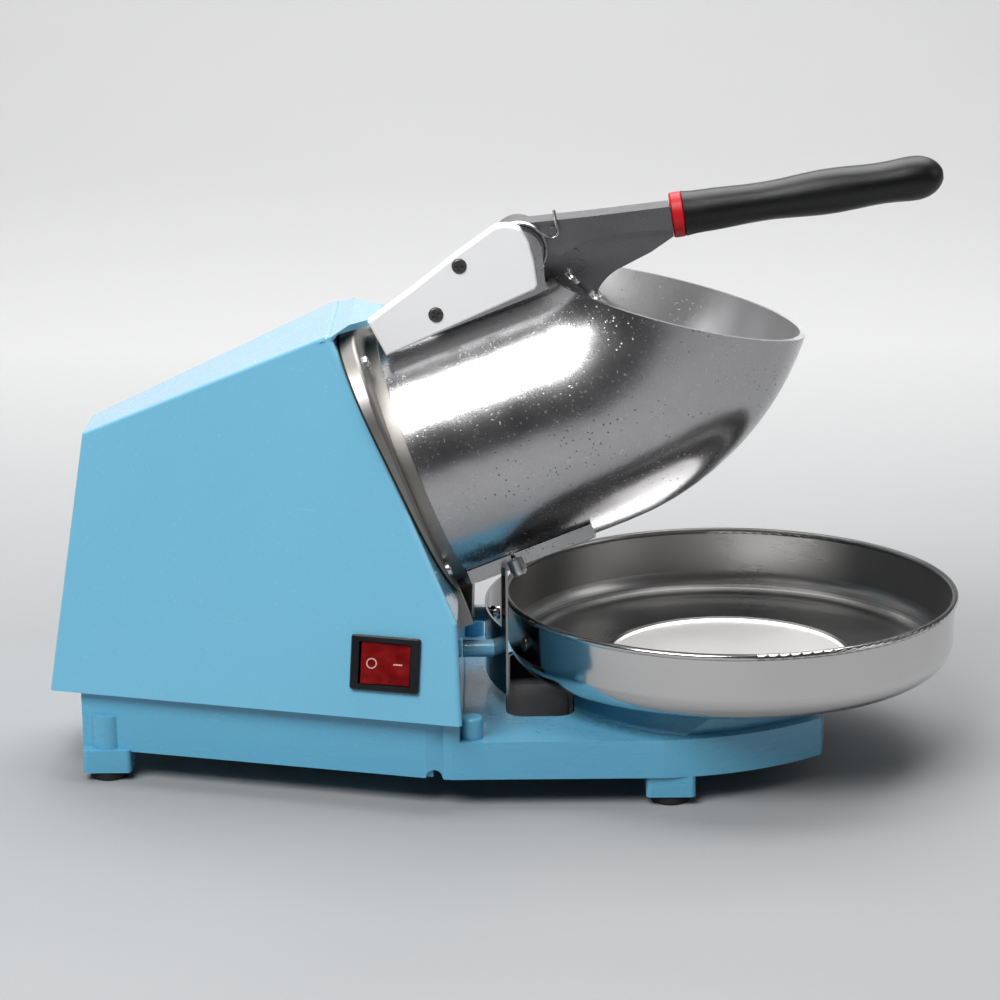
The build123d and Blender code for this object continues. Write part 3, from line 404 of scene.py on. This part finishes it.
@dataclass(frozen=True)
class CastMetal:
    """Cast or tumbled metal with pits, bright specks, blotches and fine handling scratches."""

    name: str
    colour: Colour
    roughness: float = 0.3
    pits: float = 0.5
    pit_scale: float = 420.0
    blotch: float = 0.3
    ripple: float = 0.0002
    scratches: float = 0.4
    bore: Optional[Bore] = None

    def make(self) -> bpy.types.Material:
        """Write the material."""
        g = Graph(self.name)
        cell = g.cells(self.pit_scale)
        patchy = g.rise(g.noise(28.0, 4.0), 0.42, 0.62)
        pit = g.fall(cell, 0.10, 0.20) * patchy * self.pits
        fleck = g.rise(g.noise(self.pit_scale * 1.9, 3.0), 0.62, 0.72) * self.pits
        cloud = g.rise(g.noise(16.0, 5.0, rough=0.62), 0.3, 0.75)
        along = g.noise(5.0, 9.0, g.stretched((3.0, 90.0, 90.0), (0.1, 0.35, 0.2)), 0.75)
        across = g.noise(4.0, 9.0, g.stretched((80.0, 80.0, 3.0), (0.5, 0.2, 0.9)), 0.75)
        line = (g.rise(along, 0.63, 0.68) + g.rise(across, 0.65, 0.7)) * self.scratches
        body = g.blend(cloud * self.blotch, self.colour, shade(self.colour, 0.62))
        body = g.blend(pit, body, shade(self.colour, 0.30))
        body = g.blend(fleck * 0.35 + line * 0.4, body, BARE_METAL)
        rough = cloud * 0.14 + pit * 0.25 + line * 0.16 + fleck * 0.12 + self.roughness
        if self.bore is not None:
            inside = self.bore.mask(g)
            body = g.blend(inside * 0.85, body, BRUSHED_BORE)
            rough = inside * 0.16 + rough
        relief = g.noise(22.0, 2.0) * 6.0 + g.noise(90.0, 2.0) - pit * 2.0
        return g.finish(Base_Color=body, Metallic=1.0, Roughness=rough, Normal=g.bump(relief, self.ripple))


@dataclass(frozen=True)
class TurnedMetal:
    """Small machined or plated metal with tool marks and tarnish."""

    name: str
    colour: Colour
    roughness: float = 0.18
    tarnish: float = 0.35
    marks: float = 0.00003

    def make(self) -> bpy.types.Material:
        """Write the material."""
        g = Graph(self.name)
        spot = g.rise(g.noise(230.0, 4.0), 0.45, 0.7)
        body = g.blend(spot * self.tarnish, self.colour, shade(self.colour, 0.5))
        lines = g.noise(30.0, 4.0, g.stretched((60.0, 60.0, 60.0)))
        return g.finish(
            Base_Color=body,
            Metallic=1.0,
            Roughness=spot * 0.18 + lines * 0.06 + self.roughness,
            Normal=g.bump(lines, self.marks),
        )


@dataclass(frozen=True)
class SpunSteel:
    """Spun stainless sheet: mirror outside, satin inside with rings about one upright axis, painted shade
    on faces that look up and a painted highlight in the middle of the floor.
    """

    name: str
    colour: Colour
    centre_x: float
    outside: float = 0.07
    inside: float = 0.24
    floor_r: float = 0.061

    def make(self) -> bpy.types.Material:
        """Write the material."""
        g = Graph(self.name)
        place = g.place()
        x = g.part_of(place, "X") - self.centre_x
        y = g.part_of(place, "Y")
        radius = (x * x + y * y) ** 0.5
        normal = g.facing()
        outward = (g.part_of(normal, "X") * x + g.part_of(normal, "Y") * y) / (radius + HAIR)
        inner = g.fall(outward * 0.5 + 0.5, 0.45, 0.55)
        upward = g.rise(g.part_of(normal, "Z"), 0.5, 0.8)
        bowl = g.rise(inner + upward, 0.3, 0.8)
        disc = (radius < self.floor_r) * upward
        level = g.part_of(place, "Z") * 0.25
        rings_at = g.node("ShaderNodeCombineXYZ", None, {0: radius, 1: level, 2: 0.0})
        rings = g.noise(900.0, 5.0, rings_at, 0.7)
        smear = g.rise(g.noise(11.0, 5.0), 0.35, 0.7)
        swirl = g.rise(g.noise(60.0, 6.0, rough=0.7), 0.5, 0.8)
        body = g.blend(bowl, self.colour, shade(self.colour, 0.80))
        # Painted shade: faces that look up, such as the inside floor, are made nearly black.
        body = g.blend(upward, body, shade(self.colour, 0.07))
        # Painted highlight: the middle of the floor is made near-white.
        body = g.blend(disc, body, PAINTED_FLOOR_HIGHLIGHT)
        body = g.blend(smear * 0.14 + swirl * 0.06, body, shade(self.colour, 0.7))
        satin = bowl * (self.inside - self.outside)
        rough = satin + disc * 0.06 + rings * 0.05 + smear * 0.05 + self.outside
        relief = rings * bowl + smear * 0.5
        return g.finish(Base_Color=body, Metallic=1.0, Roughness=rough, Normal=g.bump(relief, 0.00002))


@dataclass(frozen=True)
class MirrorSheet:
    """Bright rolled steel sheet with faint smears."""

    name: str
    colour: Colour
    roughness: float = 0.06

    def make(self) -> bpy.types.Material:
        """Write the material."""
        g = Graph(self.name)
        smear = g.rise(g.noise(18.0, 5.0), 0.35, 0.7)
        grain = g.noise(6.0, 6.0, g.stretched((4.0, 4.0, 140.0)), 0.6)
        body = g.blend(smear * 0.2, self.colour, shade(self.colour, 0.72))
        rough = smear * 0.07 + grain * 0.05 + self.roughness
        return g.finish(Base_Color=body, Metallic=1.0, Roughness=rough, Normal=g.bump(grain, 0.000012))


@dataclass(frozen=True)
class ClearRed:
    """Deep red rocker plastic that lets a little light through."""

    name: str
    colour: Colour

    def make(self) -> bpy.types.Material:
        """Write the material."""
        g = Graph(self.name)
        depth = g.rise(g.noise(140.0, 3.0), 0.35, 0.75)
        return g.finish(
            Base_Color=g.blend(depth * 0.6, self.colour, shade(self.colour, 2.6, 0.01)),
            Roughness=depth * 0.08 + 0.16,
            Coat_Weight=0.25,
            Coat_Roughness=0.05,
            IOR=1.42,
            Subsurface_Weight=0.12,
            Subsurface_Scale=0.002,
            Normal=g.bump(g.noise(420.0, 2.0), 0.00003),
        )


@dataclass(frozen=True)
class Paper:
    """Pale seamless backdrop with a faint weave and painted light: darker near the front, brighter towards
    the back where it rises.
    """

    name: str
    near: Colour
    far: Colour
    fade: tuple[float, float] = (0.2, 1.0)

    def make(self) -> bpy.types.Material:
        """Write the material."""
        g = Graph(self.name)
        cloud = g.rise(g.noise(1.3, 3.0), 0.3, 0.75)
        start, end = self.fade
        # Painted light: the colour goes from the near tone to the far tone along Y.
        depth = (g.part_of(g.place(), "Y") - start) / (end - start)
        body = g.blend(g.rise(depth, 0.0, 1.0), self.near, self.far)
        body = g.blend(cloud * 0.3, body, PAPER_CLOUD)
        return g.finish(Base_Color=body, Roughness=0.85, Normal=g.bump(g.noise(600.0, 2.0), 0.0001))


BASE_BLUE = GlossMoulding("base_blue", (0.105, 0.400, 0.600), 0.26, 0.35)
# The housing's faces that look up get a strong painted sheen.
HOUSING_BLUE = GlossMoulding("housing_blue", (0.172, 0.475, 0.665), 0.20, 0.6, painted_sheen=0.17)
WHITE_COVER = MatteMoulding("white_cover", (0.86, 0.86, 0.865), 0.42, 900.0, 0.00003, 0.06)
BLACK_MOULDING = MatteMoulding("black_moulding", (0.004, 0.0045, 0.007), 0.34, 1400.0, 0.00003, 0.04)
DARK_MOULDING = MatteMoulding("dark_moulding", (0.045, 0.045, 0.048), 0.5)
BLACK_RUBBER = MatteMoulding("black_rubber", (0.010, 0.010, 0.010), 0.7, 1600.0, 0.0001, 0.2)
GRIP_BLACK = MatteMoulding("grip_black", (0.0022, 0.0022, 0.0024), 0.34, 2100.0, 0.00012, 0.10)
RED_PLASTIC = MatteMoulding("red_plastic", (0.52, 0.004, 0.010), 0.40, 900.0, 0.00002, 0.02)
MARK_WHITE = MatteMoulding("mark_white", (0.62, 0.36, 0.34), 0.5, 900.0, 0.00001, 0.05)
ROCKER_RED = ClearRed("rocker_red", (0.13, 0.001, 0.0015))
CASTING_GREY = CastMetal("casting_grey", (0.30, 0.29, 0.27), 0.36, 0.25, 700.0, 0.25, 0.00008, 0.15)
LEVER_CAST = CastMetal("lever_cast", (0.285, 0.28, 0.29), 0.26, 0.5, 520.0, 0.35, 0.00012, 0.35)
CHUTE_CAST = CastMetal("chute_cast", (0.46, 0.46, 0.46), 0.22, 0.5, 480.0, 0.35, 0.00008, 0.4)
BRIGHT_SCREW = TurnedMetal("bright_screw", (0.80, 0.79, 0.78), 0.14)
DARK_SCREW = TurnedMetal("dark_screw", (0.13, 0.13, 0.125), 0.30)
ZINC = TurnedMetal("zinc", (0.62, 0.62, 0.60), 0.28)
GROUND_STEEL = TurnedMetal("ground_steel", (0.64, 0.64, 0.64), 0.20, 0.2)
SPRING_STEEL = TurnedMetal("spring_steel", (0.52, 0.51, 0.50), 0.22)
COPPER = TurnedMetal("copper", (0.80, 0.40, 0.22), 0.25)
BRASS = TurnedMetal("brass", (0.78, 0.58, 0.26), 0.25)
IRON = TurnedMetal("iron", (0.20, 0.20, 0.21), 0.45)
CARBON = MatteMoulding("carbon", (0.03, 0.03, 0.032), 0.6)
FERRITE = MatteMoulding("ferrite", (0.055, 0.055, 0.058), 0.6, 500.0, 0.00012)
MOTOR_BLACK = GlossMoulding("motor_black", (0.020, 0.020, 0.022), 0.35, 0.2)
# Painted shade: the guard's colour is set darker than steel, standing in for the darker surroundings it
# reflects.
GUARD_MIRROR = MirrorSheet("guard_mirror", (0.30, 0.295, 0.29))

Finish = Union[
    GlossMoulding, MatteMoulding, CastMetal, TurnedMetal, SpunSteel, MirrorSheet, ClearRed, Paper
]


class Workshop:
    """Makes each finish once and puts it on pieces."""

    def __init__(self) -> None:
        """Start with no materials made."""
        self._made: dict[str, bpy.types.Material] = {}

    def material(self, finish: Finish) -> bpy.types.Material:
        """The material of a finish, made the first time it is asked for."""
        if finish.name not in self._made:
            self._made[finish.name] = finish.make()
        return self._made[finish.name]

    def coat(self, piece: bpy.types.Object, finish: Finish) -> None:
        """Give a piece one finish all over."""
        piece.data.materials.clear()
        piece.data.materials.append(self.material(finish))
        LOG.info("%s: %s", piece.name, finish.name)

    def coat_nodes(self, plan: Mapping[Finish, Sequence[str]]) -> None:
        """Give CAD nodes their finishes.

        Args:
            plan: node names by finish.
        """
        for finish, nodes in plan.items():
            for node in nodes:
                self.coat(frame["nodes"][node], finish)


# ---- Sub-assemblies ----------------------------------------------------------------------------
def tube_along(name: str, points: Sequence[Vector], radius: float) -> bpy.types.Object:
    """A round wire along points.

    Args:
        name: the piece's name.
        points: its centreline.
        radius: the wire's radius.

    Returns:
        A curve object.
    """
    curve = bpy.data.curves.new(name, "CURVE")
    curve.dimensions = "3D"
    curve.bevel_depth = radius
    curve.bevel_resolution = 5
    curve.use_fill_caps = True
    spline = curve.splines.new("POLY")
    spline.points.add(len(points) - 1)
    for slot, point in zip(spline.points, points):
        slot.co = (*point, 1.0)
    piece = bpy.data.objects.new(name, curve)
    bpy.context.scene.collection.objects.link(piece)
    return piece


def smooth_path(points: Sequence[Vector], steps: int) -> list[Vector]:
    """Round a path off so that it still passes through its points.

    Args:
        points: the path's corners.
        steps: how many pieces each stretch gets.

    Returns:
        Points along the rounded path.
    """
    padded = [points[0], *points, points[-1]]
    path = []
    for before, start, end, after in zip(padded, padded[1:], padded[2:], padded[3:]):
        for i in range(steps):
            t = i / steps
            path.append(
                0.5 * (
                    2 * start + (end - before) * t
                    + (2 * before - 5 * start + 4 * end - after) * t ** 2
                    + (3 * start - before - 3 * end + after) * t ** 3
                )
            )
    return [*path, points[-1]]


@dataclass(frozen=True)
class Base:
    """Plinth, pan tray, feet, drip well and cable inlet."""

    shop: Workshop

    def dress(self) -> None:
        """Put finishes on the base's nodes."""
        self.shop.coat_nodes({
            BASE_BLUE: ["base_moulding", "bottom_cover"],
            BLACK_RUBBER: ["rubber_feet"],
            ZINC: ["foot_screws", "bottom_cover_screws"],
            DARK_MOULDING: ["drip_well"],
            BLACK_MOULDING: ["cable_gland"],
        })


@dataclass(frozen=True)
class Housing:
    """Upper housing with what it carries inside."""

    shop: Workshop

    def dress(self) -> None:
        """Put finishes on the housing's nodes."""
        self.shop.coat_nodes({
            HOUSING_BLUE: ["housing_shell", "guard_spacers"],
            DARK_MOULDING: ["terminal_block"],
            BLACK_MOULDING: ["rectifier"],
        })


@dataclass(frozen=True)
class MainsSwitch:
    """Rocker switch on the housing's side."""

    shop: Workshop

    def dress(self) -> None:
        """Put finishes on the switch's nodes."""
        self.shop.coat_nodes({
            BLACK_MOULDING: ["rocker_frame"],
            BRASS: ["rocker_terminals"],
            ROCKER_RED: ["rocker_button"],
            MARK_WHITE: ["rocker_marks"],
        })


@dataclass(frozen=True)
class CuttingHead:
    """Casting, hopper, chute, guard and the rotor with its blades."""

    shop: Workshop

    def dress(self) -> None:
        """Put finishes on the head's nodes."""
        spin = next(j for j in frame["joints"] if j["name"] == "rotor_spin")
        bore = Bore(tuple(spin["pos_m"]), tuple(spin["axis"]))
        hopper = CastMetal("hopper_cast", (0.50, 0.495, 0.50), 0.15, 0.85, 330.0, 0.34, 0.00006, 0.5, bore)
        self.shop.coat_nodes({
            CASTING_GREY: ["blade_housing", "blade_disc"],
            BLACK_RUBBER: ["flange_gasket", "shaft_seal"],
            hopper: ["hopper"],
            CHUTE_CAST: ["chute_channel", "drive_fins"],
            GUARD_MIRROR: ["splash_guard"],
            BRIGHT_SCREW: ["flange_screws", "chute_screws", "guard_screws", "blade_screws", "hub_nut"],
            GROUND_STEEL: ["blades"],
        })


@dataclass(frozen=True)
class Motor:
    """Motor inside the housing."""

    shop: Workshop

    def dress(self) -> None:
        """Put finishes on the motor's nodes."""
        self.shop.coat_nodes({
            MOTOR_BLACK: ["motor_can"],
            CASTING_GREY: ["motor_front_cap", "motor_rear_cap"],
            FERRITE: ["motor_magnets"],
            ZINC: ["motor_bolts"],
            GROUND_STEEL: ["front_bearing", "rear_bearing", "motor_shaft"],
            BRASS: ["brush_holders"],
            CARBON: ["brushes"],
            IRON: ["armature"],
            COPPER: ["windings", "commutator"],
            BLACK_MOULDING: ["cooling_fan"],
        })


@dataclass(frozen=True)
class SafetyCover:
    """White cover over the safety switch."""

    shop: Workshop

    def dress(self) -> None:
        """Put finishes on the cover's nodes."""
        self.shop.coat_nodes({
            WHITE_COVER: ["switch_cover"],
            DARK_SCREW: ["cover_screws"],
            BLACK_MOULDING: ["microswitch"],
            BRASS: ["microswitch_terminals"],
            RED_PLASTIC: ["microswitch_plunger"],
        })


@dataclass(frozen=True)
class PressLever:
    """Cast lever with its pusher, grip and wound spring."""

    shop: Workshop
    wire_r: float = 0.75 * MM
    coil_r: float = 13.5 * MM
    turns: float = 3.25
    steps_per_turn: int = 40
    pitch: float = 1.62 * MM
    first_y: float = -17.6 * MM
    start_angle: float = math.radians(50)
    peg: Point = (23.25 * MM, -14.2 * MM, 268.6 * MM)
    peg_r: float = 2.8 * MM
    hook: tuple[Point, ...] = (
        (0.3, 0.0, 3.8),
        (0.7, 0.0, 1.5),
        (1.02, 0.0, 0.0),
        (0.55, 0.0, -0.9),
        (-0.3, 0.0, -1.02),
        (-1.5, -0.5, -0.55),
    )
    hook_steps: int = 8

    def dress(self) -> None:
        """Put finishes on the lever's nodes."""
        self.shop.coat_nodes({
            LEVER_CAST: ["lever_arm", "pusher"],
            GROUND_STEEL: ["hinge_pin"],
            BRIGHT_SCREW: ["pusher_screws"],
            RED_PLASTIC: ["grip_collar"],
            GRIP_BLACK: ["grip"],
        })

    def wind_spring(self, hinge: Vector) -> None:
        """Wind the return spring round the barrel and hook its leg over the lever's peg.

        Args:
            hinge: middle of the lever's hinge.
        """
        coil = []
        for i in range(int(self.turns * self.steps_per_turn) + 1):
            turn = self.start_angle + 2 * math.pi * i / self.steps_per_turn
            coil.append(hinge + Vector((math.cos(turn) * self.coil_r, 0, math.sin(turn) * self.coil_r)))
            coil[-1].y = self.first_y + self.pitch * i / self.steps_per_turn
        hook = [Vector(self.peg) + self.peg_r * Vector(corner) for corner in self.hook]
        points = smooth_path([*hook, coil[0]], self.hook_steps)[:-1] + coil
        spring = tube_along("return_spring_wire", points, self.wire_r)
        self.shop.coat(spring, SPRING_STEEL)
        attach(spring, Body.LEVER.value)
        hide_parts("return_spring")


@dataclass(frozen=True)
class CatchPan:
    """Loose spun pan."""

    shop: Workshop

    def dress(self) -> None:
        """Put the spun finish on the pan, centred on its own axis."""
        low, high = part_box("pan")
        finish = SpunSteel("pan_steel", (0.66, 0.65, 0.64), (low.x + high.x) / 2)
        self.shop.coat_nodes({finish: ["pan"]})


# ---- Studio ------------------------------------------------------------------------------------
@dataclass(frozen=True)
class Softbox:
    """A square or oblong area light."""

    name: str
    place: Point
    aim: Point
    size: tuple[float, float]
    power: float
    colour: Colour = (1.0, 1.0, 1.0)

    def hang(self) -> None:
        """Put the light in the scene."""
        lamp = bpy.data.lights.new(self.name, "AREA")
        lamp.shape = "RECTANGLE"
        lamp.size, lamp.size_y = self.size
        lamp.energy = self.power
        lamp.color = self.colour
        holder = bpy.data.objects.new(self.name, lamp)
        holder.location = self.place
        away = Vector(self.place) - Vector(self.aim)
        holder.rotation_euler = away.to_track_quat("Z", "Y").to_euler()
        bpy.context.scene.collection.objects.link(holder)


SOFTBOXES = (
    Softbox("top_box", (0.1, 0.5, 1.9), (0.0, 0.0, 0.1), (1.9, 1.3), 38.0),
    Softbox("front_box", (-0.7, -1.15, 1.65), (0.0, 0.0, 0.15), (1.3, 1.0), 44.0),
    Softbox("side_box", (2.2, -0.4, 1.1), (0.1, 0.0, 0.15), (0.9, 1.2), 4.0),
    Softbox("backdrop_box", (0.0, 2.5, 2.5), (0.0, 3.0, 0.0), (4.0, 1.0), 74.0),
)


@dataclass(frozen=True)
class Studio:
    """Sweep, lights and camera."""

    shop: Workshop
    paper: Paper = Paper("sweep_paper", (0.27, 0.275, 0.28), (0.54, 0.54, 0.54))
    floor_start: float = -9.0
    sweep_start: float = 1.9
    sweep_radius: float = 2.2
    sweep_steps: int = 16
    wall_top: float = 5.0
    half_width: float = 6.0
    sky: Colour = (0.62, 0.64, 0.66)
    dark: Colour = (0.10, 0.10, 0.105)
    sky_reached: float = 0.5
    sky_strength: float = 0.6
    camera_place: Point = (-0.00325, -1.450, 0.5107)
    camera_pitch: float = 75.3
    camera_roll: float = -0.51
    lens: float = 107.4
    sensor_width: float = 36.0
    far_clip: float = 50.0

    def lay_sweep(self) -> None:
        """Lay the floor and the backdrop that curves up from it."""
        profile = [(self.floor_start, 0.0), (0.0, 0.0), (self.sweep_start, 0.0)]
        for i in range(1, self.sweep_steps + 1):
            angle = math.radians(90 * i / self.sweep_steps)
            y = self.sweep_start + self.sweep_radius * math.sin(angle)
            profile.append((y, self.sweep_radius * (1 - math.cos(angle))))
        profile.append((profile[-1][0], self.wall_top))
        vertices = [(side * self.half_width, y, z) for y, z in profile for side in (-1, 1)]
        faces = [(2 * i, 2 * i + 1, 2 * i + 3, 2 * i + 2) for i in range(len(profile) - 1)]
        mesh = bpy.data.meshes.new("sweep")
        mesh.from_pydata(vertices, [], faces)
        mesh.shade_smooth()
        sweep = bpy.data.objects.new("sweep", mesh)
        bpy.context.scene.collection.objects.link(sweep)
        self.shop.coat(sweep, self.paper)

    def light(self) -> None:
        """Hang the softboxes and set the room's own glow."""
        bpy.context.scene.view_settings.view_transform = "Standard"
        for box in SOFTBOXES:
            box.hang()
        world = bpy.data.worlds.new("room")
        bpy.context.scene.world = world
        world.use_nodes = True
        self.grade_room(world.node_tree)

    def grade_room(self, tree: bpy.types.NodeTree) -> None:
        """Let the room go from dark behind the camera to pale behind the machine.

        Args:
            tree: the world's nodes.
        """
        ground = tree.nodes["Background"]
        coordinate = tree.nodes.new("ShaderNodeTexCoord")
        split = tree.nodes.new("ShaderNodeSeparateXYZ")
        ramp = tree.nodes.new("ShaderNodeValToRGB")
        tree.links.new(coordinate.outputs["Generated"], split.inputs[0])
        tree.links.new(split.outputs["Y"], ramp.inputs["Fac"])
        tree.links.new(ramp.outputs["Color"], ground.inputs["Color"])
        stops = ((0.0, self.dark), (self.sky_reached, self.sky))
        for element, (place, colour) in zip(ramp.color_ramp.elements, stops):
            element.position = place
            element.color = (*colour, 1.0)
        ground.inputs["Strength"].default_value = self.sky_strength

    def place_camera(self) -> None:
        """Set the camera up on the switch's side, looking slightly down."""
        lens = bpy.data.cameras.new("camera")
        lens.lens = self.lens
        lens.sensor_width = self.sensor_width
        lens.clip_end = self.far_clip
        camera = bpy.data.objects.new("camera", lens)
        tilt = Matrix.Rotation(math.radians(self.camera_pitch), 4, "X")
        roll = Matrix.Rotation(math.radians(self.camera_roll), 4, "Z")
        camera.matrix_world = Matrix.Translation(Vector(self.camera_place)) @ tilt @ roll
        bpy.context.scene.collection.objects.link(camera)
        bpy.context.scene.camera = camera


def main() -> None:
    """Build the whole machine's looks, then the studio."""
    logging.basicConfig(level=logging.INFO, format="%(name)s %(message)s")
    shop = Workshop()
    for kind in (Base, Housing, MainsSwitch, CuttingHead, Motor, SafetyCover, CatchPan):
        kind(shop).dress()
        LOG.info("dressed %s", kind.__name__)
    lever = PressLever(shop)
    lever.dress()
    hinge = next(j for j in frame["joints"] if j["name"] == "lever_hinge")
    lever.wind_spring(Vector(hinge["pos_m"]))
    studio = Studio(shop)
    studio.lay_sweep()
    studio.light()
    studio.place_camera()


if __name__ == "__main__":
    main()
